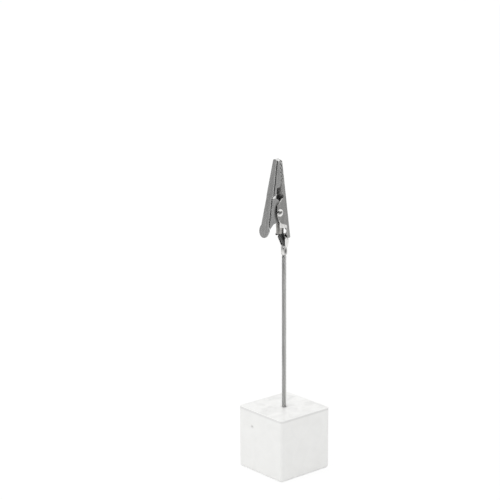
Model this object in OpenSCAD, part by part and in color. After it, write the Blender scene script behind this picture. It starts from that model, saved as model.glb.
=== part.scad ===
// Memo clip holder: a cast cube, a wire rope stem and a small toothed spring clip.
// Millimetres. The origin is the centre of the cube's underside and the stem runs up the Z axis.
// The clip's lever is on the -X side, and the clip is symmetric about the plane y = 0.

/* [Cube base] */
// Side of the cast cube
cube_side = 22; // [16:0.5:40]
// Radius of the moulded upright and bottom edges
cube_edge_r = 1; // [0.4:0.1:3]
// Height of the rim that stands round the poured top
rim_h = 0.1; // [0.05:0.05:0.4]
// Width of that rim
rim_w = 0.45; // [0.2:0.05:1.2]
// Depth of the blind hole that holds the stem
socket_depth = 9; // [4:0.5:14]
// Diameter of the wider mouth of that hole
mouth_d = 2.05; // [1.8:0.05:3.5]
// Depth of the mouth
mouth_depth = 1.2; // [0.4:0.1:3]
// Diameter of the air bubble in the left face
pit_d = 0.8; // [0.3:0.1:1.6]
// Distance of the air bubble from the middle of that face
pit_y = 4; // [1:0.5:6]
// Depth of the air bubble below the top of the cube
pit_drop = 5.8; // [2:0.2:12]

/* [Stem] */
// Outer diameter of the wire rope
rope_d = 1.45; // [1:0.05:1.7]
// Length of rope that shows between the cube and the crimp
rope_free = 53.6; // [30:0.2:120]
// Height that one strand climbs in a whole turn
rope_lay = 7.6; // [5:0.2:16]
// Distance that the rope's end leans forward into the wire barrel
rope_lean = 1.85; // [0.8:0.05:2.4]

/* [Clip sheet] */
// Thickness of the sheet that both halves are stamped from
sheet = 0.35; // [0.2:0.05:0.45]
// Outside radius of the bends along the back plates
bend_r = 0.5; // [0.4:0.05:0.8]
// Width of the closed jaws at the nose
nose_w = 2.4; // [1.8:0.1:4]
// Angle by which each side of the clip spreads from the nose to the tail
side_taper = 3.75; // [1:0.25:5]
// Clearance between the lever's ears and the fixed ears, on each side
ear_gap = 0.07; // [0.05:0.01:0.15]

/* [Clip outline] */
// Height of the nose above the crimp's lower end
clip_len = 32.2; // [30:0.2:40]
// Height of the rivet above the crimp's lower end
pivot_up = 15; // [14.4:0.2:16]
// Distance of the rivet in front of the stem's axis
pivot_out = 3.84; // [3.4:0.04:4.4]
// Height of the fixed half's foot above the crimp's lower end
foot_up = 6.3; // [6:0.1:7]
// Distance of the fixed back plate behind the stem's axis, at the foot
foot_back = 0.5; // [0.3:0.05:0.8]
// Lean of the fixed back plate
fixed_lean = 4.63; // [3:0.25:6]
// Depth of the closed jaws at the nose, over both back plates
nose_depth = 2.4; // [1.8:0.1:3]
// Lean of the lever's back plate
lever_lean = 11; // [9:0.5:13]
// Step of the lever's plate where its ears tuck in between the fixed ears
joggle = 0.27; // [0.12:0.05:0.47]
// Diameter of the thumb pad
pad_d = 4.9; // [4:0.1:7]
// Height of the thumb pad's middle above the crimp's lower end
pad_up = 9.4; // [7:0.2:10]

/* [Teeth] */
// Height of the round arch that ends each jaw, seen from the front
nose_arch = 0.7; // [0.5:0.1:1.6]
// Number of teeth along each wall of a jaw
teeth = 6; // [4:1:6]
// Distance from one tooth to the next
tooth_pitch = 1.34; // [1:0.02:1.4]
// Height of a tooth
tooth_h = 0.9; // [0.4:0.05:1.1]
// Gap between the two rows of closed teeth
tooth_gap = 0.2; // [0.05:0.01:0.3]
// Distance of the line where the teeth meet in front of the fixed back plate, at the nose
bite_out = 0.8; // [0.7:0.05:1.1]

/* [Rivet and spring] */
// Diameter of the rivet's shank
shank_d = 1.2; // [0.8:0.1:1.4]
// Diameter of the rivet's two heads
head_d = 2.5; // [2:0.1:3.2]
// Height of a domed head
head_h = 0.5; // [0.3:0.05:0.8]
// Radial clearance of the shank in the lever's ears
pivot_gap = 0.05; // [0.02:0.01:0.1]
// Diameter of the spring's wire
wire_d = 0.45; // [0.3:0.05:0.5]
// Radial clearance of the spring's coil round the shank
coil_gap = 0.15; // [0.05:0.05:0.3]
// Number of turns in the spring's coil
coil_turns = 4; // [2:1:5]

/* [Tail] */
// Length of the crimp that grips the rope
crimp_len = 2.1; // [1.4:0.1:3]
// Outside diameter of the curled wire barrel
barrel_d = 2.55; // [2.4:0.05:2.8]
// Height of the barrel
barrel_len = 4; // [3:0.1:4.2]
// Diameter of the round hole in the fixed back plate
plate_hole_d = 1.85; // [1:0.05:2.4]

/* [Hidden] */
outer_strands = 6;
rings_per_turn = 10;
strand_sides = 8;
fit = 0.01;
over = 1;

// Rope: the lay angle makes each strand's level section an ellipse, wider round the rope
rope_r = rope_d / 2;
strand_ring_r = rope_r * 0.69;
lay_angle = atan(2 * PI * strand_ring_r / rope_lay);
strand_wide = strand_ring_r / 2 - fit / 2;
strand_deep = min(strand_wide * cos(lay_angle), rope_r - strand_ring_r);
core_r = strand_ring_r * cos(180 / rings_per_turn) - strand_deep - fit;

// Heights of the clip's main lines, from the cube up
crimp_z = cube_side + rope_free;
foot_z = crimp_z + foot_up;
nose_z = crimp_z + clip_len;
pivot_z = crimp_z + pivot_up;
pad_z = crimp_z + pad_up;
pivot_x = -pivot_out;

// Above the rivet the ears, the throat and the toothed jaws share the length that is left
reach_up = nose_z - pivot_z;
ear_share = 0.267;
jaw_share = 0.506;
ear_top = pivot_z + ear_share * reach_up;
throat_top = nose_z - jaw_share * reach_up;
joggle_rise = 0.9;
joggle_low = ear_top + joggle_rise / 3;
joggle_high = joggle_low + joggle_rise;

// Tail heights: the barrel ends under the lever's ears, and the trough begins under the barrel
barrel_drop = 3.7;
wing_len = 1.8;
trough_lap = 0.1;
barrel_top = pivot_z - barrel_drop;
barrel_z = barrel_top - barrel_len;
wing_z = barrel_top - wing_len;
trough_top = barrel_z + trough_lap;
crimp_top = crimp_z + crimp_len;
crimp_in = rope_r + fit;
crimp_out = crimp_in + sheet;
rope_top = barrel_z + barrel_len / 2;
mouth_up = 0.95;
lean_z = crimp_top + mouth_up;

// Places on the two back plates at height z, outside face and half width
function fixed_back(z) = foot_back - (z - foot_z) * tan(fixed_lean);
function lever_jaw_back(z) = fixed_back(nose_z) - nose_depth - (nose_z - z) * tan(lever_lean);
function half_w(z) = nose_w / 2 + (nose_z - z) * tan(side_taper);
function ear_half_w(z) = half_w(z) - sheet - ear_gap;
fixed_skin = sheet / cos(fixed_lean);
lever_skin = sheet / cos(lever_lean);

// Points of an arc from angle a to angle b
function arc(x, y, r, a, b, n = 6) =
    [for (i = [0:n]) [x + r * cos(a + (b - a) * i / n), y + r * sin(a + (b - a) * i / n)]];

function lerp(a, b, t) = a + (b - a) * t;

// A square of side s with round corners
function round_square(s, r) = concat(
    arc(s / 2 - r, s / 2 - r, r, 0, 90), arc(r - s / 2, s / 2 - r, r, 90, 180),
    arc(r - s / 2, r - s / 2, r, 180, 270), arc(s / 2 - r, r - s / 2, r, 270, 360));

// Level section of a channel: a back plate at x with two round bends, open towards the far side
function channel(x, w, r, open_x, z) =
    let (s = open_x > x ? -1 : 1,
        side = concat([[open_x, -w]], [for (p = arc(0, 0, r, -90, 0)) [x + s * (p[0] - r), p[1] + r - w]]))
    [for (p = concat(side, [for (i = [len(side) - 1:-1:0]) [side[i][0], -side[i][1]]])) [p[0], p[1], z]];

// A solid through level sections, from the lowest up
module loft(sections) {
    n = len(sections[0]);
    last = len(sections) - 1;
    sides = [for (i = [0:last - 1], j = [0:n - 1])
        let (a = i * n + j, b = i * n + (j + 1) % n)
        each [[a, a + n, b + n], [a, b + n, b]]];
    ends = [[for (j = [0:n - 1]) j], [for (j = [n - 1:-1:0]) last * n + j]];
    polyhedron([for (s = sections) each s], concat(sides, ends), convexity = 6);
}

// The same solid for sections that run the other way round
module loft_back(sections) {
    loft([for (s = sections) [for (j = [len(s) - 1:-1:0]) s[j]]]);
}

// A side outline, drawn in x and z, made as thick as the whole clip
module across(reach) {
    rotate([90, 0, 0]) linear_extrude(2 * reach, center = true) children();
}

// Rope path: upright, then leaning forward into the barrel above the crimp
function ease(t) = t * t * (3 - 2 * t);
function rope_x(z) = -rope_lean * ease(max(0, min(1, (z - lean_z) / (barrel_z - lean_z))));

// Sections of one strand: a level oval that goes round the rope's axis
function strand(angle, ring_r, deep, wide, step) =
    let (rise = rope_top - cube_side + socket_depth, count = ceil(rise / step))
    [for (i = [0:count])
        let (z = cube_side - socket_depth + rise * i / count, turn = angle - 360 * (z - cube_side) / rope_lay)
        [for (j = [0:strand_sides - 1])
            let (a = 360 * j / strand_sides, u = ring_r + deep * cos(a), v = wide * sin(a))
            [rope_x(z) + u * cos(turn) - v * sin(turn), u * sin(turn) + v * cos(turn), z]]];

module cube_base() {
    color("whitesmoke")
    difference() {
        intersection() {
            linear_extrude(cube_side) polygon(round_square(cube_side, cube_edge_r));
            upright_block();
            rotate([0, 0, 90]) upright_block();
        }
        translate([0, 0, cube_side - rim_h])
            linear_extrude(over) polygon(round_square(cube_side - 2 * rim_w, cube_edge_r - rim_w / 2));
        translate([0, 0, cube_side - socket_depth])
            cylinder(r = rope_r + fit, h = socket_depth + over, $fn = 48);
        translate([0, 0, cube_side - mouth_depth])
            cylinder(d = mouth_d, h = mouth_depth + over, $fn = 48);
        translate([-cube_side / 2, pit_y, cube_side - pit_drop])
            sphere(d = pit_d, $fn = 24);
    }
}

// The cube seen from one side: round at the bottom, with a sharp top
module upright_block() {
    translate([0, 0, cube_side / 2]) rotate([90, 0, 0])
        linear_extrude(2 * cube_side, center = true) {
            polygon(round_square(cube_side, cube_edge_r));
            translate([-cube_side / 2, 0]) square([cube_side, cube_side / 2]);
        }
}

module stem_core_strand() {
    color("silver") loft_back(strand(0, 0, core_r, core_r, rope_lay / 4));
}

module stem_strand(i) {
    color("darkgray")
        loft_back(strand(360 * i / outer_strands, strand_ring_r, strand_deep, strand_wide,
            rope_lay / rings_per_turn));
}

// Edge of one row of teeth, from the nose down: sharp valleys, and blunt points at x + reach
nose_land = 1.3;
tooth_flat = 0.3;
tooth_short = 0.25;
teeth_shown = min(teeth, floor((nose_z - throat_top - nose_land) / tooth_pitch) + 1);
top_tooth = nose_z - nose_land;
low_tooth = top_tooth - (teeth_shown - 1) * tooth_pitch;

function tooth_row(x, reach, shift) =
    let (point = reach - sign(reach) * tooth_short)
    [for (i = [0:teeth_shown - 1])
        let (z = top_tooth - i * tooth_pitch + shift)
        each [[x - reach, z + tooth_pitch / 2], [x + point, z + tooth_flat / 2], [x + point, z - tooth_flat / 2]]];

// Rounding of the fixed plate where it bends over the nose
nose_round = 0.45;

// Front outline of a jaw: straight sides under a round arch, with a pointed middle where it has a tip
module nose_outline(top, inset, tip) {
    low = crimp_z - over;
    wide = half_w(low) + over;
    spring = top - nose_arch;
    half = half_w(spring) + 2 * fit - inset;
    polygon(concat([[-wide, low], [wide, low], [wide, spring]],
        [for (a = [0:10:70]) [half * cos(a), spring + (nose_arch - inset) * sin(a)]],
        [[0, top - inset + tip]],
        [for (a = [110:10:180]) [half * cos(a), spring + (nose_arch - inset) * sin(a)]],
        [[-wide, spring]]));
}

module nose_cut(top, inset = 0, tip = 0) {
    rotate([90, 0, 90]) linear_extrude(8 * nose_depth, center = true) nose_outline(top, inset, tip);
}

// The rows meet at the bite line, each half a gap away from it
bite_x = fixed_back(nose_z) - bite_out;
fixed_bite = bite_x + tooth_gap / 2;
lever_bite = bite_x - tooth_gap / 2;

// Ear of the fixed half: an oval round the rivet, from its peak at the throat down to the flange
lobe_out = 1.24;
lobe_up = 0.35;
lobe_wide = 2.45;
lobe_high = 4.25;
lobe_x = pivot_x + lobe_out;
lobe_z = pivot_z + lobe_up;

function fixed_lobe() =
    [for (a = [150:10:260]) [lobe_x + lobe_wide * cos(a), lobe_z + lobe_high * sin(a)]];

// Throat: its lower corner, and how far it runs back from the bite line
throat_in = 0.65;
throat_low = 0.3;
throat_bend = 1.4;
ear_peak_x = pivot_x + 1.5;

// Flange below the ear: a straight free edge with a small rounded toe at its foot
flange_deep = 1.6;
flange_x = fixed_back(foot_z) - flange_deep;
toe = 0.25;

function flange_edge() = concat(
    [[flange_x, wing_z + 1], [flange_x, foot_z + 3 * toe]],
    arc(flange_x + 0.05, foot_z + toe / 2, toe + 0.05, 150, 270, 4));

module fixed_outline() {
    back = over + foot_back + nose_depth;
    polygon(concat(
        [[back, foot_z + toe / 2], [back, nose_z - 2 * nose_round]],
        arc(fixed_back(nose_z) - nose_round, nose_z - nose_round, nose_round, 0, 90, 4),
        [[fixed_bite, nose_z]],
        tooth_row(fixed_bite, -tooth_h / 2, 0),
        [[fixed_bite - throat_in / 2, throat_top], [fixed_bite, ear_top + throat_bend],
            [fixed_bite + throat_in, ear_top + 2 * throat_low], [fixed_bite + throat_in, ear_top + throat_low],
            [ear_peak_x, ear_top]],
        fixed_lobe(),
        flange_edge()));
}

// The fixed half's channel, with the wall between its two skins
module fixed_channel() {
    open_x = pivot_x - 6;
    difference() {
        loft([for (z = [foot_z - over, nose_z]) channel(fixed_back(z), half_w(z), bend_r, open_x, z)]);
        intersection() {
            loft([for (z = [foot_z - 2 * over, nose_z - sheet + trim])
                channel(fixed_back(z) - fixed_skin, half_w(z) - sheet, bend_r - sheet / 1.2, open_x - over, z)]);
            nose_cut(nose_z, sheet);
        }
    }
}

// Barrel: two wings of the side walls, curled towards each other round the rope's end
barrel_r = barrel_d / 2;
barrel_seam = 0.08;
barrel_slant = 16;

module barrel() {
    translate([-rope_lean, 0, 0])
        difference() {
            translate([0, 0, barrel_z]) cylinder(r = barrel_r, h = barrel_len, $fn = 48);
            translate([0, 0, barrel_z - over]) cylinder(r = barrel_r - sheet, h = barrel_len + 2 * over, $fn = 48);
            translate([-barrel_r - over, -barrel_seam / 2, barrel_z - over])
                cube([barrel_r + over, barrel_seam, barrel_len + 2 * over]);
            translate([barrel_r * 0.6, -barrel_r, barrel_z - over])
                cube([barrel_r, barrel_d, barrel_len + 2 * over]);
            translate([-barrel_r, -barrel_d, barrel_z]) rotate([0, -barrel_slant, 0])
                translate([0, 0, -barrel_d]) cube([3 * barrel_d, 2 * barrel_d, barrel_d]);
        }
    for (s = [-1, 1]) wing(s);
}

// Web between a side wall and its wing of the barrel
module wing(s) {
    from = [flange_x + sheet / 2, s * (half_w(barrel_top) - 0.8 * sheet)];
    to = [-rope_lean - barrel_r * 0.75, s * (barrel_r * 0.66 - sheet / 2)];
    run = to - from;
    translate([from[0], from[1], wing_z]) rotate([0, 0, atan2(run[1], run[0])])
        translate([-sheet / 2, -sheet / 2, 0]) cube([norm(run), sheet, barrel_top - wing_z]);
}

module fixed_jaw() {
    color("lightgray")
    difference() {
        union() {
            intersection() {
                fixed_channel();
                across(half_w(foot_z) + over) fixed_outline();
                nose_cut(nose_z);
            }
            barrel();
            trough();
            crimp();
        }
        rotate_bore(shank_d);
        translate([fixed_back(barrel_z) - over, 0, barrel_z + 0.7]) rotate([0, 90, 0])
            cylinder(d = plate_hole_d, h = 2 * over, $fn = 48);
        rivet_seats();
    }
}

// Bore along the rivet's axis
module rotate_bore(d) {
    translate([pivot_x, 0, pivot_z]) rotate([90, 0, 0])
        cylinder(d = d, h = 2 * half_w(foot_z) + 2 * over, center = true, $fn = 48);
}

// Flats that riveting presses into the tapering ears, under the two heads
module rivet_seats() {
    for (s = [-1, 1])
        translate([pivot_x, s * (half_w(pivot_z) + over), pivot_z]) rotate([90, 0, 0])
            cylinder(d = head_d + 2 * pivot_gap, h = 2 * over, center = true, $fn = 48);
}

// Trough: the tail narrows under the flanges and closes round the rope
trough_half_w = 2;
trough_edge = -rope_lean + barrel_seam * 2;
mouth_x = -0.47;
trough_low = crimp_top + mouth_up / 2;
trough_rise = trough_top - trough_low;

module trough() {
    low = trough_low;
    sections = [
        [low, crimp_out - fit, crimp_out - fit],
        [low + 0.34 * trough_rise, lerp(crimp_out, trough_half_w, 0.6), crimp_out - 4 * fit],
        [low + 0.6 * trough_rise, trough_half_w, lerp(crimp_out, fixed_back(trough_top), 0.6)],
        [trough_top, trough_half_w, fixed_back(trough_top)]];
    difference() {
        intersection() {
            difference() {
                loft([for (s = sections) channel(s[2], s[1], min(crimp_out, s[1]) * 0.7, -over * 4, s[0])]);
                loft([for (s = sections) channel(s[2] - sheet, s[1] - sheet,
                    (min(crimp_out, s[1]) - sheet) * 0.7, -over * 5, s[0] + (s == sections[0] ? -over : 0)
                    + (s == sections[3] ? over : 0))]);
            }
            across(trough_half_w + over)
                polygon([[2 * over, low], [mouth_x, low], [mouth_x, low + 0.1 * trough_rise],
                    [lerp(mouth_x, trough_edge, 0.3), low + 0.39 * trough_rise],
                    [lerp(mouth_x, trough_edge, 0.56), low + 0.64 * trough_rise],
                    [trough_edge, trough_top], [2 * over, trough_top]]);
        }
        far_tab_cut(low + 0.64 * trough_rise);
    }
}

// The far tab of the trough is cut shorter than the near one
module far_tab_cut(z) {
    translate([0, over, 0]) rotate([90, 0, 180]) mirror([1, 0, 0]) linear_extrude(2 * trough_half_w)
        polygon([[0.7 * trough_edge, z], [mouth_x, z + 0.2 * trough_rise], [mouth_x, trough_top + over],
            [trough_edge - over, trough_top + over], [trough_edge - over, z]]);
}

// Crimp: a sleeve closed round the rope, with a seam and a mouth that opens in front
module crimp() {
    difference() {
        translate([0, 0, crimp_z]) cylinder(r = crimp_out, h = crimp_len + mouth_up, $fn = 48);
        translate([0, 0, crimp_z - over])
            cylinder(r = crimp_in, h = crimp_len + mouth_up + 2 * over, $fn = 48);
        translate([-crimp_out - over, -barrel_seam / 2, crimp_z - over])
            cube([crimp_out + over, barrel_seam, crimp_len + 2 * over]);
        across(2 * crimp_out) polygon([[-crimp_out, crimp_top], [mouth_x, crimp_top + mouth_up],
            [mouth_x, crimp_top + mouth_up + over], [-crimp_out - over, crimp_top + mouth_up + over],
            [-crimp_out - over, crimp_top]]);
    }
}

// Lever sections: the jaw is as wide as the fixed one, and the ears tuck in below the joggle
function lever_section(z, inset) =
    let (low = z <= joggle_low, w = low ? ear_half_w(z) : half_w(z))
    channel(lever_jaw_back(z) - (low ? joggle : 0) + inset * lever_skin / sheet, w - inset,
        inset > 0 ? bend_r - sheet / 1.2 : bend_r, 3 * over + inset, z);

// Side outline of the lever, from the back plate over the nose and down the free edges
lever_proud = 0.25;
nose_tip = 0.22;
strip_w = 0.55;
trim = 0.05;
web_up = 0.9;
lever_top = nose_z + lever_proud;

// Ear of the lever, round the rivet from its front top corner down to the web behind the pad
ear_front = 2.6;
ear_back = 1.5;
function lever_ear() =
    [[pivot_x + trim, ear_top - 2 * ear_gap - strip_w / 2], [pivot_x + ear_back, pivot_z + 1.33 * ear_back],
        [pivot_x + 0.4 * ear_back, pivot_z - 0.8 * ear_front], [pivot_x - 0.42 * ear_front, pivot_z - 1.23 * ear_front],
        [pivot_x - ear_front, pivot_z - 1.37 * ear_front]];

module lever_outline() {
    front = lever_jaw_back(pad_z) - 2 * over;
    nose_back = lever_jaw_back(nose_z);
    strip = lever_jaw_back(joggle_high) + lever_skin;
    polygon(concat(
        [[front, pad_z - 3 * over], [front, lever_top], [nose_back + 0.8, lever_top],
            [lever_bite - 2 * trim, lever_top + nose_tip + 2 * trim], [lever_bite, lever_top + nose_tip - trim]],
        tooth_row(lever_bite, tooth_h / 2, tooth_pitch / 2),
        [[lever_bite - tooth_h / 2, low_tooth], [lever_bite - tooth_h / 2 - 2 * trim, throat_top],
            [lever_jaw_back(throat_top) + 2 * strip_w, throat_top - strip_w / 2],
            [strip + 1.5 * strip_w, joggle_high + 2 * trim], [strip + 2 * strip_w, joggle_low - 2 * trim]],
        lever_ear(),
        [[lever_jaw_back(pad_z + web_up) + strip_w, pad_z + web_up],
            [lever_jaw_back(pad_z) - joggle, pad_z - trim]]));
}

module lever_jaw() {
    top = lever_top + nose_tip;
    levels = [pad_z, joggle_low, joggle_high, top];
    pad_top = lever_jaw_back(pad_z) - joggle;
    color("lightgray")
    difference() {
        union() {
            intersection() {
                difference() {
                    loft_back([for (z = levels) lever_section(z, 0)]);
                    intersection() {
                        loft_back([for (z = [pad_z - over, joggle_low, joggle_high, lever_top - sheet + trim])
                            lever_section(z, sheet)]);
                        nose_cut(lever_top, sheet);
                    }
                }
                nose_cut(lever_top, 0, nose_tip);
                across(half_w(foot_z) + over) {
                    lever_outline();
                    translate([pivot_x, pivot_z]) circle(d = shank_d + 2.2, $fn = 48);
                }
            }
            translate([pad_top, 0, pad_z]) rotate([0, lever_lean - 90, 0])
                rotate([0, 0, 180]) translate([0, 0, -sheet]) cylinder(d = pad_d, h = sheet, $fn = 64);
        }
        rotate_bore(shank_d + 2 * pivot_gap);
    }
}

module rivet() {
    seat = half_w(pivot_z);
    dome_r = (pow(head_d / 2, 2) + pow(head_h, 2)) / (2 * head_h);
    color("silver")
    translate([pivot_x, 0, pivot_z]) rotate([90, 0, 0]) {
        cylinder(d = shank_d, h = 2 * seat, center = true, $fn = 48);
        for (s = [0, 1]) mirror([0, 0, s]) translate([0, 0, seat])
            intersection() {
                translate([0, 0, head_h - dome_r]) sphere(r = dome_r, $fn = 64);
                cylinder(d = head_d, h = head_h + over, $fn = 48);
            }
    }
}

// Spring: a coil round the shank, with one leg against each back plate
coil_r = shank_d / 2 + coil_gap + wire_d / 2;
coil_pitch = wire_d * 1.04;
leg_drop = 3.4;

function spring_path() =
    let (n = 16, total = n * coil_turns, width = coil_pitch * coil_turns,
        fixed_leg_x = fixed_back(pivot_z - leg_drop) - fixed_skin - wire_d / 2 - fit,
        lever_leg_x = lever_jaw_back(pivot_z - leg_drop) - joggle + lever_skin + wire_d / 2 + fit)
    concat(
        [[fixed_leg_x, -width / 2, pivot_z - leg_drop]],
        [for (i = [0:total + n / 2])
            let (a = 360 * i / n)
            [pivot_x + coil_r * cos(a), -width / 2 + coil_pitch * min(i, total) / n, pivot_z + coil_r * sin(a)]],
        [[lever_leg_x, width / 2, pivot_z - leg_drop]]);

// Round wire along a path
module wire(path, d, sides = 8) {
    n = len(path);
    function way(i) = let (v = path[min(i + 1, n - 1)] - path[max(i - 1, 0)]) v / norm(v);
    sections = [for (i = [0:n - 1])
        let (t = way(i), y = cross(t, [0, 1, 0]), u = y / norm(y), v = cross(t, u))
        [for (j = [0:sides - 1]) path[i] + d / 2 * (u * cos(360 * j / sides) + v * sin(360 * j / sides))]];
    loft(sections);
}

module torsion_spring() {
    color("dimgray") wire(spring_path(), wire_d);
}

cube_base();
stem_core_strand();
for (i = [1:outer_strands])
    stem_strand(i);
fixed_jaw();
lever_jaw();
rivet();
torsion_spring();
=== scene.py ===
import math

import bmesh
import bpy
from mathutils import Euler, Matrix, Vector, noise


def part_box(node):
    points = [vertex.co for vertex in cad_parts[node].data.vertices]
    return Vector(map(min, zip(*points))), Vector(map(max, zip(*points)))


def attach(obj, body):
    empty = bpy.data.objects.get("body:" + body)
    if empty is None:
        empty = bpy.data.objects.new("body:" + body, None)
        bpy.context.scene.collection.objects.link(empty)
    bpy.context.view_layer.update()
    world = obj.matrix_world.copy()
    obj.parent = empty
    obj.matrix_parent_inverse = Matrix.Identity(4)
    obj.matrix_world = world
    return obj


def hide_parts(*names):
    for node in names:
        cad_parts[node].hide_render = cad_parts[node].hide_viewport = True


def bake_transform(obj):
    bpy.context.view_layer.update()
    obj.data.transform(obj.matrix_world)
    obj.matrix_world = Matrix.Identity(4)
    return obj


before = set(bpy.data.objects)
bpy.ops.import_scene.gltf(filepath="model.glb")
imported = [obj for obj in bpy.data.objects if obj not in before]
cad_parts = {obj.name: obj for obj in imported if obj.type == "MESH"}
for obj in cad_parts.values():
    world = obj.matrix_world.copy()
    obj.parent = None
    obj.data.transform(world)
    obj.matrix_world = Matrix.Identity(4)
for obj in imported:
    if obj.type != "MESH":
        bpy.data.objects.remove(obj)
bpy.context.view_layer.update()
scene = bpy.context.scene

MM = 0.001
SAME_PLACE = 1e-6

# Shares of a normal above which a face points mostly, or partly, one way
MOSTLY = 0.7
PARTLY = 0.3

# Cube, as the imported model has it
CUBE_SIDE = 22 * MM
CUBE_EDGE = 1 * MM
RIM_WIDTH = 0.45 * MM
PIT_RADIUS = 0.4 * MM
PIT_CENTRE = (-11 * MM, 4 * MM, 16.2 * MM)

# Rim: bevel and finish of its lip, fall of its flat, and its slope down to the poured top
LIP_WIDTH = 0.06 * MM
LIP_HEIGHT = 0.12 * MM
RIM_FALL = 0.01 * MM
SLOPE_WIDTH = 0.1 * MM
SLOPE_DROP = 0.08 * MM

# Poured top: its climb at the rim, then height, number to a metre and fading of its slow waves
RIM_CLIMB = 0.05 * MM
CLIMB_RATE = 14
WAVE_HEIGHT = 0.035 * MM
BROAD_WAVES = 190
FINE_WAVES = 430
FINE_SHARE = 0.5
FADE_RATE = 6
FADE_START = 1.2 * MM
FADE_LENGTH = 1 * MM
RING_SLACK = 1.5 * MM

# Rope, and the bare part of it that stands a little open
ROPE_RADIUS = 0.725 * MM
STRAND_RING = 0.5 * MM
STRAND_RADIUS = 0.225 * MM
OUTER_STRANDS = 6
OUTER_WIRES = 6
ROPE_LAY = 7.6 * MM
WIRE_LAY = 4.1 * MM
WIRE_STEP = 0.3 * MM
SMALL_STEP = 0.01 * MM
ROPE_FOOT = 13 * MM
ROPE_TOP = 84.9 * MM
LEAN_START = 78.65 * MM
LEAN_END = 82.9 * MM
ROPE_LEAN = 1.85 * MM
OPEN_FOOT = (20.9 * MM, 22 * MM)
OPEN_HEAD = (74.3 * MM, 75.5 * MM)
OPEN_SHARE = 0.09

# Hole for the rope: flare at the top, then the radius and the depth of each ring on the way down
MOUTH_FLARE = 1.125 * MM
MOUTH_RADIUS = 1.025 * MM
MOUTH_ROUND = 0.08 * MM
MOUTH_TAPER = 0.02 * MM
MOUTH_DEPTH = 1.2 * MM
SOCKET_RADIUS = ROPE_RADIUS + 0.01 * MM
SOCKET_DEPTH = 9 * MM
HOLE_RINGS = ((MOUTH_RADIUS, MOUTH_ROUND), (MOUTH_RADIUS - MOUTH_TAPER, MOUTH_DEPTH),
              (SOCKET_RADIUS, MOUTH_DEPTH), (SOCKET_RADIUS, SOCKET_DEPTH))

# Clip: the plane midway between its back plates, its inside, its barrel and its stamped edges
CLIP_FOOT = 83 * MM
CLIP_NOSE = 107.8 * MM
MIDDLE_FOOT = -3.6 * MM
MIDDLE_NOSE = -2.75 * MM
INNER_HALF_WIDTH = 1.2 * MM
BARREL_LOW = 82.9 * MM
BARREL_TOP = 86.9 * MM
BARREL_RADIUS = 1.28 * MM
STAMPED_EDGE = 0.035 * MM
LEVER_ROOM = 0.056 * MM
FOLD_ANGLE = math.radians(10)

# Rivet and spring
PIVOT = Vector((-3.84 * MM, 0, 90.6 * MM))
SHANK_RADIUS = 0.6 * MM
HEAD_RADIUS = 1.25 * MM
HEAD_HEIGHT = 0.5 * MM
HEAD_RIM = 0.08 * MM
DOME_STEPS = 8
SPRING_WIRE = 0.225 * MM
SPRING_RADIUS = 0.975 * MM
SPRING_PITCH = 0.468 * MM
SPRING_TURNS = 4
COIL_STEPS = 32
LEG_DROP = 3.4 * MM

# Painted shade by height: heights, each with the share of the colour that is left there
# Painted shade in a band on the cube's sides just under the lip
LIP_SHADE_LINE = ((21 * MM, 1), (21.35 * MM, 0.87), (21.75 * MM, 0.87), (21.9 * MM, 1))
# Painted shade on the rope where it runs up into the trough
ROPE_TROUGH_SHADE = ((78.3 * MM, 1), (79 * MM, 0.3), (83 * MM, 0.22))
# Painted shade on the clip's inside faces, deepest at the foot
INSIDE_SHADE = ((82.6 * MM, 0.22), (85 * MM, 0.35), (89 * MM, 1))

# Painted dark patches, for shade and dark reflections: place, half sizes, share of the colour left
# in the middle, and reach of that middle
# Painted shade round the pit in the cube's left face
PIT_SHADE = ((-11 * MM, 3.9 * MM, 16.2 * MM), (0.75 * MM, 0.95 * MM, 0.75 * MM), 0.82, 0.3)
# Painted dark reflection on the crimp's front
CRIMP_DARK_REFLECTION = ((-0.25 * MM, -1.05 * MM, 76.9 * MM), (0.75 * MM, 0.8 * MM, 1.6 * MM), 0.2, 0.3)
# Painted shade on the lever's wall round the rim of the fixed ear
EAR_GAP_SHADE = ((-3.4 * MM, 0, 90.6 * MM), (2.75 * MM, 1, 4.2 * MM), 0.18, 0.75)
# Painted dark reflection across the rivet's dome
RIVET_DARK_REFLECTION = ((-4.35 * MM, 0, 90.6 * MM), (0.95 * MM, 1, 0.75 * MM), 0.35, 0.3)

# Tones of the cast white: places on the swirl, each with its tone
SIDE_TONES = ((0.3, 0.89), (0.5, 0.908), (0.7, 0.922))
TOP_TONES = ((0.32, 0.83), (0.5, 0.92), (0.68, 0.975))
# The rim's lighter tones are a painted highlight on the lip
RIM_HIGHLIGHT_TONES = ((0.3, 0.96), (0.7, 0.98))
WARMTH = 0.985
CAST_ROUGHNESS = (0.22, 0.45)

# Grain of the finishes
SWIRL_SIZE = 4 * MM
HAZE_SIZE = 2 * MM
ROLL_SIZE = 0.5 * MM
ROLL_STRETCH = (1, 1, 0.06)
ROLL_DEPTH = 0.004 * MM
RUB_SIZE = 0.35 * MM

# Sockets of a colour mix
FIRST_COLOUR, SECOND_COLOUR, MIXED_COLOUR = 6, 7, 2

# Cards for the metal to mirror: bearing, distance, width, lower edge, upper edge and tone
CARDS = {
    "card_left": (130, 0.3, 0.24, 0.05, 0.26, 0.29),
    "card_right": (312, 0.3, 0.3, 0, 0.12, 0.3),
    "card_front_left": (190, 0.29, 0.22, 0, 0.4, 0.04),
    "card_front": (228, 0.6, 0.5, 0, 0.6, 0.05),
    "card_front_right": (264, 0.6, 0.45, 0.04, 0.6, 0.07),
}

# Floor: size, tone, glow and the share of the glow, and the light of the white surroundings
FLOOR_SIZE = (6, 6)
FLOOR_TONE = 0.86
FLOOR_GLOW = 1.06
GLOW_SHARE = 0.82
WORLD_LIGHT = 0.92

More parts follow.
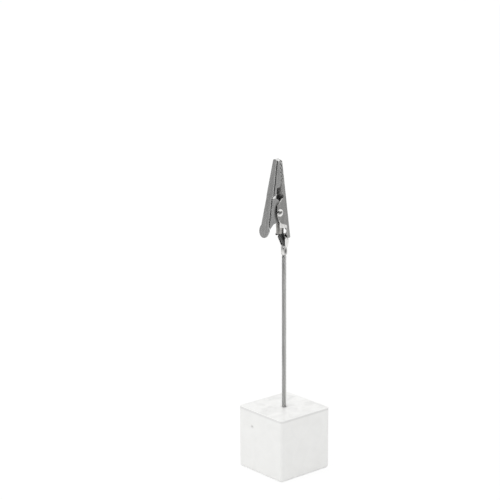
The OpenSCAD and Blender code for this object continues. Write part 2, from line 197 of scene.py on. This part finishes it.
# Camera: the place it looks at, its distance, turn and tilt, and its lens
CAMERA_TARGET = Vector((0, 0, 57 * MM))
CAMERA_DISTANCE = 540 * MM
CAMERA_TURN = 0.723028
CAMERA_TILT = 0.283172
CAMERA_SENSOR = 36
CAMERA_LENS = 115.911
CAMERA_SHIFT = (-0.0682, 0.1157)


# A finished mesh as a piece of the scene
def add_piece(name, bm):
    mesh = bpy.data.meshes.new(name)
    bm.to_mesh(mesh)
    bm.free()
    return add_object(name, mesh)


def add_object(name, data):
    made = bpy.data.objects.new(name, data)
    scene.collection.objects.link(made)
    return made


# The mesh that an object has once its modifiers or its curve are worked out
def finished_mesh(made):
    graph = bpy.context.evaluated_depsgraph_get()
    return bpy.data.meshes.new_from_object(made.evaluated_get(graph))


# Smooth faces, with a crease where two faces meet at more than the given angle
def smooth_faces(bm, crease=35):
    limit = math.radians(crease)
    for face in bm.faces:
        face.smooth = True
    for edge in bm.edges:
        edge.smooth = len(edge.link_faces) == 2 and edge.calc_face_angle(0) < limit


# Flat faces keep their own shading beside a round edge
def keep_flats_flat(piece):
    weighted = piece.modifiers.new("flat_faces", "WEIGHTED_NORMAL")
    weighted.keep_sharp = True
    weighted.weight = 80


def clamped(share):
    return max(0, min(1, share))


def ease(share):
    share = clamped(share)
    return share * share * (3 - 2 * share)


# Cast cube

def cube_body():
    bm = bmesh.new()
    bmesh.ops.create_cube(bm, size=CUBE_SIDE)
    bmesh.ops.translate(bm, verts=bm.verts, vec=(0, 0, CUBE_SIDE / 2))
    round_edges = [e for e in bm.edges if not is_on_top(e)]
    bmesh.ops.bevel(bm, geom=round_edges, offset=CUBE_EDGE, segments=6, profile=0.5, affect="EDGES",
                    material=-1)
    return bm


def is_on_top(edge):
    return all(abs(v.co.z - CUBE_SIDE) < SAME_PLACE for v in edge.verts)


def highest_face(bm):
    return max(bm.faces, key=lambda f: f.calc_center_median().z)


# Rim that the pour left round the top
def cube_rim(bm):
    long_sides = [e for e in highest_face(bm).edges if e.calc_length() > CUBE_SIDE / 2]
    bmesh.ops.subdivide_edges(bm, edges=long_sides, cuts=15)
    top = highest_face(bm)
    bmesh.ops.inset_region(bm, faces=[top], thickness=LIP_WIDTH)
    bmesh.ops.inset_region(bm, faces=[top], thickness=RIM_WIDTH - SLOPE_WIDTH, depth=-RIM_FALL)
    bmesh.ops.inset_region(bm, faces=[top], thickness=SLOPE_WIDTH, depth=-SLOPE_DROP)
    return top


# Poured top: rings between the rim and the hole, with slow waves
def cube_top(bm, top):
    level = top.calc_center_median().z
    rim_edges = list(top.edges)
    bmesh.ops.delete(bm, geom=[top], context="FACES_ONLY")
    hole = bmesh.ops.create_circle(bm, segments=len(rim_edges), radius=MOUTH_FLARE)["verts"]
    bmesh.ops.translate(bm, verts=hole, vec=(0, 0, level))
    hole_edges = [e for e in bm.edges if all(v in hole for v in e.verts)]
    made = bmesh.ops.bridge_loops(bm, edges=rim_edges + hole_edges)
    spokes = [e for e in made["edges"] if not is_ring_edge(e)]
    rings = bmesh.ops.subdivide_edges(bm, edges=spokes, cuts=26, use_grid_fill=True)
    for item in rings["geom_inner"]:
        if isinstance(item, bmesh.types.BMVert):
            item.co.z += poured_wave(item.co)
    return hole_edges


# An edge along a ring has both ends about as far from the middle, and a spoke doesn't
def is_ring_edge(edge):
    low, high = sorted(v.co.to_2d().length for v in edge.verts)
    return high - low < RING_SLACK


# Height of the poured surface: a little climb at the rim, and waves that fade out at both ends
def poured_wave(place):
    to_rim = 1 - max(abs(place.x), abs(place.y)) / (CUBE_SIDE / 2 - RIM_WIDTH)
    climb = RIM_CLIMB * math.exp(-to_rim * CLIMB_RATE)
    from_hole = (place.to_2d().length - FADE_START) / FADE_LENGTH
    broad = noise.noise(Vector((place.x, place.y, 0)) * BROAD_WAVES)
    fine = noise.noise(Vector((place.x, place.y, MM)) * FINE_WAVES)
    waves = WAVE_HEIGHT * (broad + FINE_SHARE * fine)
    return climb + waves * clamped(to_rim * FADE_RATE) * clamped(from_hole)


# Blind hole for the rope, with a wider mouth
def cube_hole(bm, ring):
    for radius, depth in HOLE_RINGS:
        ring = next_ring(bm, ring, radius, CUBE_SIDE - depth)
    bmesh.ops.edgeloop_fill(bm, edges=ring)


def next_ring(bm, ring, radius, height):
    made = bmesh.ops.extrude_edge_only(bm, edges=ring)["geom"]
    for vert in (v for v in made if isinstance(v, bmesh.types.BMVert)):
        flat = vert.co.to_2d().normalized() * radius
        vert.co = (flat.x, flat.y, height)
    return [e for e in made if isinstance(e, bmesh.types.BMEdge)]


# The air bubble in the left face is cut out with a small ball
def cut_pit(cube):
    bm = bmesh.new()
    bmesh.ops.create_uvsphere(bm, u_segments=24, v_segments=16, radius=PIT_RADIUS)
    bmesh.ops.translate(bm, verts=bm.verts, vec=PIT_CENTRE)
    ball = add_piece("pit_cutter", bm)
    cut = cube.modifiers.new("pit", "BOOLEAN")
    cut.object = ball
    cut.solver = "EXACT"
    finished = finished_mesh(cube)
    cube.modifiers.remove(cut)
    cube.data = finished
    bpy.data.objects.remove(ball)


def cast_cube():
    bm = cube_body()
    hole_edges = cube_top(bm, cube_rim(bm))
    cube_hole(bm, hole_edges)
    bmesh.ops.recalc_face_normals(bm, faces=bm.faces)
    cube = add_piece("cast_cube", bm)
    cut_pit(cube)
    bm = bmesh.new()
    bm.from_mesh(cube.data)
    smooth_faces(bm, 40)
    bm.to_mesh(cube.data)
    bm.free()
    keep_flats_flat(cube)
    return cube


def is_poured(face):
    return face.normal.z > MOSTLY and face.center.z > CUBE_SIDE / 2


def is_on_rim(face):
    reach = max(abs(face.center.x), abs(face.center.y))
    return face.center.z > CUBE_SIDE - LIP_HEIGHT and reach > CUBE_SIDE / 2 - RIM_WIDTH


# Rope

def rope_axis(z):
    return Vector((-ROPE_LEAN * ease((z - LEAN_START) / (LEAN_END - LEAN_START)), 0, z))


# The bare rope stands a little open where neither the hole nor the crimp holds it
def opening(z):
    up, down = ((z - low) / (high - low) for low, high in (OPEN_FOOT, OPEN_HEAD))
    return 1 + OPEN_SHARE * ease(up) * (1 - ease(down))


# Way from the middle of the rope to a strand
def strand_side(angle, z):
    turn = angle - 2 * math.pi * (z - CUBE_SIDE) / ROPE_LAY
    return Vector((math.cos(turn), math.sin(turn), 0))


def strand_middle(angle, ring, z):
    return rope_axis(z) + ring * opening(z) * strand_side(angle, z)


# Point of one wire as it winds round the middle of its strand
def wire_point(angle, ring, wire_ring, wire_angle, z):
    middle = strand_middle(angle, ring, z)
    way = (strand_middle(angle, ring, z + SMALL_STEP) - middle).normalized()
    outward = strand_side(angle, z)
    outward = (outward - way * outward.dot(way)).normalized()
    across = way.cross(outward)
    wind = wire_angle + 2 * math.pi * z / WIRE_LAY
    return middle + wire_ring * opening(z) * (outward * math.cos(wind) + across * math.sin(wind))


# Round wires through lists of points, as one mesh
def wires(name, routes, radius, sides=1, swell=None):
    curve = bpy.data.curves.new(name, "CURVE")
    curve.dimensions = "3D"
    curve.bevel_depth = radius
    curve.bevel_resolution = sides
    curve.use_fill_caps = True
    for route in routes:
        spline = curve.splines.new("POLY")
        spline.points.add(len(route) - 1)
        for point, place in zip(spline.points, route):
            point.co = (*place, 1)
            if swell:
                point.radius = swell(place.z)
        spline.use_smooth = True
    drawn = add_object(name + "_drawn", curve)
    mesh = finished_mesh(drawn)
    mesh.name = name
    bpy.data.objects.remove(drawn)
    return add_object(name, mesh)


# One strand: a core wire and the wires laid round it
def strand_wires(name, angle, ring):
    wire_radius = STRAND_RADIUS / 3
    count = round((ROPE_TOP - ROPE_FOOT) / WIRE_STEP)
    heights = [ROPE_FOOT + (ROPE_TOP - ROPE_FOOT) * i / count for i in range(count + 1)]
    routes = [[strand_middle(angle, ring, z) for z in heights]]
    for i in range(OUTER_WIRES):
        wire_angle = 2 * math.pi * i / OUTER_WIRES
        routes.append([wire_point(angle, ring, 2 * wire_radius, wire_angle, z) for z in heights])
    return wires(name, routes, wire_radius, swell=opening)


# Clip

# A fold that runs level across a side wall, as at the joggle
def is_wall_fold(line):
    low, high = line.verts
    on_wall = all(abs(face.normal.y) > MOSTLY for face in line.link_faces)
    is_level = abs(low.co.z - high.co.z) < SAME_PLACE
    return on_wall and is_level and line.calc_face_angle(0) > FOLD_ANGLE


# Narrow faces, as where the pad's rim runs out on the plate, have no room for a rounded edge
def has_room(line, room):
    return all(face.calc_area() > room * max(e.calc_length() for e in face.edges)
               for face in line.link_faces)


# Clip half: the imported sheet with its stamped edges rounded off
def stamped_sheet(node, name, room=0):
    bm = bmesh.new()
    bm.from_mesh(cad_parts[node].data)
    bmesh.ops.remove_doubles(bm, verts=bm.verts, dist=SAME_PLACE)
    bmesh.ops.dissolve_limit(bm, angle_limit=math.radians(1), verts=bm.verts, edges=bm.edges)
    smooth_faces(bm)
    cut = [e for e in bm.edges if not e.smooth and has_room(e, room)]
    for line in bm.edges:
        if is_wall_fold(line):
            line.smooth = False
    rounded = bmesh.ops.bevel(bm, geom=cut, offset=STAMPED_EDGE, segments=2, profile=0.5,
                              affect="EDGES", material=-1, clamp_overlap=False)
    for face in rounded["faces"]:
        face.smooth = True
        for side in face.edges:
            side.smooth = True
    piece = add_piece(name, bm)
    keep_flats_flat(piece)
    return piece


# Middle between the two back plates at a height
def clip_middle(z):
    return MIDDLE_FOOT + (MIDDLE_NOSE - MIDDLE_FOOT) * (z - CLIP_FOOT) / (CLIP_NOSE - CLIP_FOOT)


# True for a face that looks into the clip or into its trough
def faces_inward(face):
    place, way = face.center, face.normal
    if abs(way.z) > MOSTLY:
        return False
    if place.z < BARREL_LOW:
        return way.dot(place - rope_axis(place.z)) < 0
    if abs(place.y) > INNER_HALF_WIDTH:
        return way.y * place.y < -PARTLY * abs(place.y)
    return abs(way.x) > PARTLY and way.x * (place.x - clip_middle(place.z)) < 0


def is_on_barrel(face):
    place = face.center
    in_reach = (place - rope_axis(place.z)).length < BARREL_RADIUS
    return BARREL_LOW < place.z < BARREL_TOP and in_reach


# Rivet: its profile spun round its axis
def clip_rivet():
    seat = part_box("rivet")[1].y - HEAD_HEIGHT
    profile = [(0, seat + HEAD_HEIGHT)]
    for i in range(1, DOME_STEPS + 1):
        slope = math.pi / 2 * i / DOME_STEPS
        height = seat + HEAD_RIM + (HEAD_HEIGHT - HEAD_RIM) * math.cos(slope)
        profile.append((HEAD_RADIUS * math.sin(slope), height))
    profile += [(HEAD_RADIUS, seat), (SHANK_RADIUS, seat)]
    profile += [(r, -y) for r, y in reversed(profile)]
    bm = bmesh.new()
    verts = [bm.verts.new(PIVOT + Vector((r, y, 0))) for r, y in profile]
    edges = [bm.edges.new(pair) for pair in zip(verts, verts[1:])]
    bmesh.ops.spin(bm, geom=verts + edges, cent=PIVOT, axis=(0, 1, 0), angle=2 * math.pi, steps=48,
                   use_merge=True)
    bmesh.ops.remove_doubles(bm, verts=bm.verts, dist=SAME_PLACE)
    bmesh.ops.recalc_face_normals(bm, faces=bm.faces)
    smooth_faces(bm, 40)
    return add_piece("clip_rivet", bm)


# Torsion spring: a leg on each back plate and a coil round the rivet
def clip_spring():
    low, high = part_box("torsion_spring")
    width = SPRING_PITCH * SPRING_TURNS
    full_turns = COIL_STEPS * SPRING_TURNS
    coil = []
    for i in range(full_turns + COIL_STEPS // 2 + 1):
        turn = 2 * math.pi * i / COIL_STEPS
        along = -width / 2 + SPRING_PITCH * min(i, full_turns) / COIL_STEPS
        coil.append(PIVOT + Vector((SPRING_RADIUS * math.cos(turn), along,
                                    SPRING_RADIUS * math.sin(turn))))
    fixed_leg = Vector((high.x - SPRING_WIRE, -width / 2, PIVOT.z - LEG_DROP))
    lever_leg = Vector((low.x + SPRING_WIRE, width / 2, PIVOT.z - LEG_DROP))
    return wires("clip_spring", [[fixed_leg, *coil, lever_leg]], SPRING_WIRE, 3)


# Nodes of the materials

def grey(value):
    return (value, value, value)


# Node of a material or of the world, with its plain inputs set
def add_node(owner, kind, **inputs):
    made = owner.node_tree.nodes.new(kind)
    for name, value in inputs.items():
        made.inputs[name.replace("_", " ")].default_value = value
    return made


def link(owner, source, target):
    owner.node_tree.links.new(source, target)


# The object's own coordinates, scaled and then moved
def own_place(material, scale=(1, 1, 1), move=(0, 0, 0)):
    coordinates = add_node(material, "ShaderNodeTexCoord")
    mapping = add_node(material, "ShaderNodeMapping", Scale=scale, Location=move)
    link(material, coordinates.outputs["Object"], mapping.inputs["Vector"])
    return mapping.outputs["Vector"]


def noise_on_object(material, size, detail, stretch=(1, 1, 1), distortion=0):
    pattern = add_node(material, "ShaderNodeTexNoise", Scale=1 / size, Detail=detail,
                       Distortion=distortion)
    link(material, own_place(material, stretch), pattern.inputs["Vector"])
    return pattern.outputs["Fac"]


def ramp(material, source, stops):
    made = add_node(material, "ShaderNodeValToRGB")
    elements = made.color_ramp.elements
    elements[0].position, elements[1].position = stops[0][0], stops[-1][0]
    for position, _ in stops[1:-1]:
        elements.new(position)
    for element, (_, colour) in zip(elements, stops):
        element.color = (*colour, 1)
    link(material, source, made.inputs["Fac"])
    return made.outputs["Color"]


def value_range(owner, source, low, high, start=0, end=1):
    made = add_node(owner, "ShaderNodeMapRange", From_Min=start, From_Max=end, To_Min=low,
                    To_Max=high)
    link(owner, source, made.inputs["Value"])
    return made.outputs["Result"]


def multiplied(material, colour, share):
    mixed = add_node(material, "ShaderNodeMix", Factor=1)
    mixed.data_type = "RGBA"
    mixed.blend_type = "MULTIPLY"
    link(material, colour, mixed.inputs[FIRST_COLOUR])
    link(material, share, mixed.inputs[SECOND_COLOUR])
    return mixed.outputs[MIXED_COLOUR]


# 1 for the rays that show or mirror the white surroundings, 0 for the rays that light the pieces
def shows_white(owner):
    rays = add_node(owner, "ShaderNodeLightPath")
    shown = rays.outputs["Is Camera Ray"]
    for kind in ("Is Glossy Ray", "Is Transmission Ray"):
        either = add_node(owner, "ShaderNodeMath")
        either.operation = "MAXIMUM"
        link(owner, shown, either.inputs[0])
        link(owner, rays.outputs[kind], either.inputs[1])
        shown = either.outputs[0]
    return shown


# Materials

def principled(name, metallic=0):
    material = bpy.data.materials.new(name)
    material.use_nodes = True
    shader = material.node_tree.nodes["Principled BSDF"]
    shader.inputs["Metallic"].default_value = metallic
    return material, shader


def roughen(material, shader, size, detail, roughness):
    pattern = noise_on_object(material, size, detail)
    link(material, value_range(material, pattern, *roughness), shader.inputs["Roughness"])


def bump(material, shader, source, distance, strength):
    made = add_node(material, "ShaderNodeBump", Strength=strength, Distance=distance)
    link(material, source, made.inputs["Height"])
    link(material, made.outputs["Normal"], shader.inputs["Normal"])


# Painted shade that changes with the height
def shaded_by_height(material, colour, height_shade):
    low, high = height_shade[0][0], height_shade[-1][0]
    parts = add_node(material, "ShaderNodeSeparateXYZ")
    link(material, own_place(material), parts.inputs["Vector"])
    height = value_range(material, parts.outputs["Z"], 0, 1, low, high)
    stops = [((z - low) / (high - low), grey(left)) for z, left in height_shade]
    return multiplied(material, colour, ramp(material, height, stops))


# Painted dark patch round a place, used for painted shade and for painted dark reflections
def with_painted_patch(material, colour, place, size, left, core):
    far = add_node(material, "ShaderNodeVectorMath")
    far.operation = "LENGTH"
    scaled = own_place(material, [1 / s for s in size], [-p / s for p, s in zip(place, size)])
    link(material, scaled, far.inputs[0])
    share = ramp(material, far.outputs["Value"], ((core, grey(left)), (1, grey(1))))
    return multiplied(material, colour, share)


# Base colour with the painted shade and painted dark patch it is given
def painted_dark(material, shader, colour, height_shade, painted_patch):
    if height_shade:
        colour = shaded_by_height(material, colour, height_shade)
    if painted_patch:
        colour = with_painted_patch(material, colour, *painted_patch)
    link(material, colour, shader.inputs["Base Color"])


# Cast white: slow swirls from the pour, and a satin skin
def cast_white(name, tones, depth, height_shade=None, painted_patch=None):
    material, shader = principled(name)
    swirl = noise_on_object(material, SWIRL_SIZE, 4, distortion=0.8)
    tint = ramp(material, swirl, [(at, (tone, tone, WARMTH * tone)) for at, tone in tones])
    painted_dark(material, shader, tint, height_shade, painted_patch)
    roughen(material, shader, HAZE_SIZE, 3, CAST_ROUGHNESS)
    bump(material, shader, swirl, depth, strength=0.5)
    return material


# Sheet or wire with faint lines from the rolling, and a rubbed skin between two roughnesses
def sheet_metal(name, tone, roughness, height_shade=None, painted_patch=None):
    material, shader = principled(name, 1)
    roll = noise_on_object(material, ROLL_SIZE, 3, stretch=ROLL_STRETCH)
    dark, light = [0.8 * c for c in tone], [min(1, 1.12 * c) for c in tone]
    tint = ramp(material, roll, ((0.3, dark), (0.7, light)))
    painted_dark(material, shader, tint, height_shade, painted_patch)
    roughen(material, shader, RUB_SIZE, 4, roughness)
    bump(material, shader, roll, ROLL_DEPTH, strength=0.4)
    return material


# Material with nothing in it but its output
def bare_material(name):
    material = bpy.data.materials.new(name)
    material.use_nodes = True
    material.node_tree.nodes.clear()
    return material, add_node(material, "ShaderNodeOutputMaterial")


# Stage

def stage_plane(name, size, place, turn=Euler()):
    bm = bmesh.new()
    bmesh.ops.create_grid(bm, x_segments=1, y_segments=1, size=0.5)
    laid = Matrix.LocRotScale(Vector(place), turn, Vector((*size, 1)))
    bmesh.ops.transform(bm, verts=bm.verts, matrix=laid)
    piece = add_piece(name, bm)
    return piece


# Floor that keeps the holder's shadow and glows white to the eye
def white_floor():
    floor = stage_plane("floor", FLOOR_SIZE, (0, 0, 0))
    material, out = bare_material("floor_white")
    diffuse = add_node(material, "ShaderNodeBsdfDiffuse", Color=(*grey(FLOOR_TONE), 1))
    glow = add_node(material, "ShaderNodeEmission", Strength=FLOOR_GLOW)
    lit = add_node(material, "ShaderNodeMixShader", Fac=GLOW_SHARE)
    link(material, diffuse.outputs[0], lit.inputs[1])
    link(material, glow.outputs[0], lit.inputs[2])
    seen = add_node(material, "ShaderNodeMixShader")
    link(material, shows_white(material), seen.inputs["Fac"])
    link(material, diffuse.outputs[0], seen.inputs[1])
    link(material, lit.outputs[0], seen.inputs[2])
    link(material, seen.outputs[0], out.inputs["Surface"])
    floor.data.materials.append(material)


# Card that only the metal sees
def card(name, bearing, distance, width, low, high, tone):
    bearing = math.radians(bearing)
    place = (distance * math.cos(bearing), distance * math.sin(bearing), (low + high) / 2)
    turn = Euler((math.pi / 2, 0, bearing + math.pi / 2))
    piece = stage_plane(name, (width, high - low), place, turn)
    material, out = bare_material(name)
    glow = add_node(material, "ShaderNodeEmission", Color=(*grey(tone), 1))
    link(material, glow.outputs[0], out.inputs["Surface"])
    piece.data.materials.append(material)
    piece.visible_camera = False
    piece.visible_diffuse = False
    piece.visible_shadow = False


def white_world():
    world = bpy.data.worlds.new("studio")
    scene.world = world
    world.use_nodes = True
    background = world.node_tree.nodes["Background"]
    background.inputs["Color"].default_value = (*grey(1), 1)
    strength = value_range(world, shows_white(world), WORLD_LIGHT, 1)
    link(world, strength, background.inputs["Strength"])


def soft_lamp(name, place, target, size, power):
    data = bpy.data.lights.new(name, "AREA")
    data.size = size
    data.energy = power
    lamp = add_object(name, data)
    lamp.location = place
    lamp.rotation_euler = (Vector(target) - Vector(place)).to_track_quat("-Z", "Y").to_euler()


def photo_camera():
    data = bpy.data.cameras.new("photo_camera")
    camera = add_object("photo_camera", data)
    level = math.cos(CAMERA_TILT)
    forward = Vector((math.sin(CAMERA_TURN) * level, math.cos(CAMERA_TURN) * level,
                      -math.sin(CAMERA_TILT)))
    camera.location = CAMERA_TARGET - CAMERA_DISTANCE * forward
    camera.rotation_euler = (math.pi / 2 - CAMERA_TILT, 0, -CAMERA_TURN)
    data.sensor_width = CAMERA_SENSOR
    data.lens = CAMERA_LENS
    data.shift_x, data.shift_y = CAMERA_SHIFT
    scene.camera = camera


# Pieces on the two bodies

# A piece has one finish, but the faces that a test picks out take the finish paired with the test
def dress(piece, slot, body, node, finish, *others):
    piece.data.materials.clear()
    piece.data.materials.append(finish)
    for index, (test, other) in enumerate(others, 1):
        piece.data.materials.append(other)
        for face in filter(test, piece.data.polygons):
            face.material_index = index
    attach(piece, body)
    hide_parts(node)


def build_cube():
    # The sides carry painted shade under the lip and round the pit
    side = cast_white("cast_side", SIDE_TONES, 0.02 * MM, LIP_SHADE_LINE, PIT_SHADE)
    top = cast_white("cast_top", TOP_TONES, 0.06 * MM)
    # The rim carries a painted highlight
    rim = cast_white("cast_rim_highlight", RIM_HIGHLIGHT_TONES, 0.02 * MM)
    dress(cast_cube(), "cast_cube", "holder", "cube_base", side, (is_poured, top), (is_on_rim, rim))


def build_stem():
    # The rope carries painted shade where it runs into the trough
    steel = sheet_metal("rope_steel", (0.82, 0.82, 0.81), (0.3, 0.5), ROPE_TROUGH_SHADE)
    core = strand_wires("stem_core_wires", 0, 0)
    dress(core, "stem_wire", "holder", "stem_core_strand", steel)
    for i in range(1, OUTER_STRANDS + 1):
        strand = strand_wires(f"stem_wires_{i}", 2 * math.pi * i / OUTER_STRANDS, STRAND_RING)
        dress(strand, "stem_wire", "holder", f"stem_strand_{i}", steel)


# The inside of a folded sheet takes a darker copy of the steel, painted shade, and the curled
# barrel is duller than the outside
def build_clip():
    # The crimp carries a painted dark reflection
    clip = sheet_metal("clip_steel", (0.82, 0.815, 0.8), (0.16, 0.3), painted_patch=CRIMP_DARK_REFLECTION)
    # The lever's wall carries painted shade round the fixed ear
    lever = sheet_metal("lever_steel", (0.8, 0.8, 0.79), (0.2, 0.32), painted_patch=EAR_GAP_SHADE)
    # The inside faces take this darker steel as painted shade
    inside = sheet_metal("inside_shade_steel", (0.45, 0.445, 0.44), (0.4, 0.6), INSIDE_SHADE)
    barrel = sheet_metal("barrel_steel", (0.5, 0.49, 0.47), (0.35, 0.55))
    # The rivet's dome carries a painted dark reflection
    rivet = sheet_metal("rivet_steel", (0.85, 0.845, 0.83), (0.08, 0.18), painted_patch=RIVET_DARK_REFLECTION)

    fixed_sheet = stamped_sheet("fixed_jaw", "fixed_sheet")
    dress(fixed_sheet, "clip_sheet", "holder", "fixed_jaw", clip,
          (faces_inward, inside), (is_on_barrel, barrel))
    lever_sheet = stamped_sheet("lever_jaw", "lever_sheet_piece", LEVER_ROOM)
    dress(lever_sheet, "lever_sheet", "lever", "lever_jaw", lever, (faces_inward, inside))
    dress(clip_rivet(), "rivet_steel", "holder", "rivet", rivet)


# The spring joins the two bodies, so it is put on neither of them
def build_spring():
    spring = clip_spring()
    spring.data.materials.append(sheet_metal("spring_steel", grey(0.4), (0.25, 0.4)))
    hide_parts("torsion_spring")
    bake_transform(spring)


def build_studio():
    white_floor()
    for name, measures in CARDS.items():
        card(name, *measures)
    white_world()
    soft_lamp("key_lamp", place=(-0.7, 0.2, 0.6), target=(0, 0, 0.05), size=0.5, power=0.9)
    photo_camera()


scene.view_settings.view_transform = "Standard"
build_cube()
build_stem()
build_clip()
build_spring()
build_studio()
